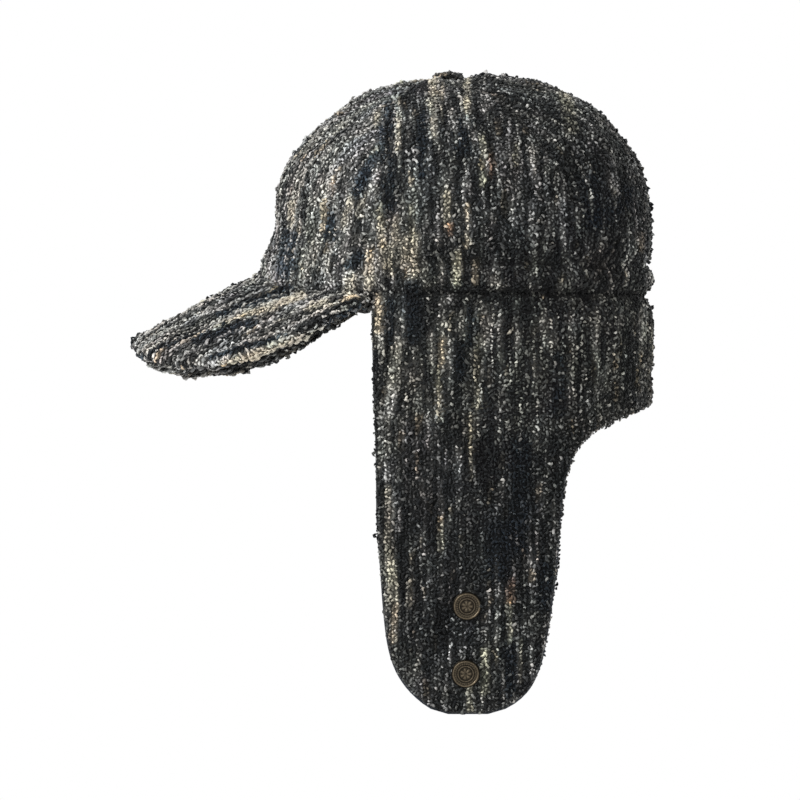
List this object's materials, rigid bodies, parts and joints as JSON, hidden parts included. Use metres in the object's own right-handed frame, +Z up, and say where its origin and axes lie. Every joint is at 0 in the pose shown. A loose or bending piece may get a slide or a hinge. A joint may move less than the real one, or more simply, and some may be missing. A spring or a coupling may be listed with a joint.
{
  "type": "earflap hat",
  "caption": "Visored cap of thick looped tweed with a covered top button and a deep lined neck and ear flap that snaps under the chin.",
  "frame": {"origin": "middle of the rim seam's plane, inside the hat, where it sits on the head", "axes": "-X towards the visor, +X towards the nape, -Y towards the wearer's left, +Z up"},
  "size_m": [0.2828, 0.183, 0.3486],
  "materials": {
    "looped_cloth": "thick looped wool blend, dark navy and charcoal streaked with grey beige and cream",
    "satin_lining": "smooth dark navy satin",
    "antique_brass": "antique brass, darkened, with worn raised rings"
  },
  "bodies": {
    "root": {"crown_front_left": "looped_cloth", "crown_front_right": "looped_cloth", "crown_side_left": "looped_cloth", "crown_side_right": "looped_cloth", "crown_back_left": "looped_cloth", "crown_back_right": "looped_cloth", "top_button": "looped_cloth", "visor": "looped_cloth", "flap_left": "looped_cloth", "flap_right": "looped_cloth", "flap_lining_left": "satin_lining", "flap_lining_right": "satin_lining", "snap_cap_upper": "antique_brass", "snap_cap_lower": "antique_brass", "snap_socket_upper": "antique_brass", "snap_socket_lower": "antique_brass", "snap_stud_upper": "antique_brass", "snap_stud_lower": "antique_brass"}
  },
  "joints": []
}
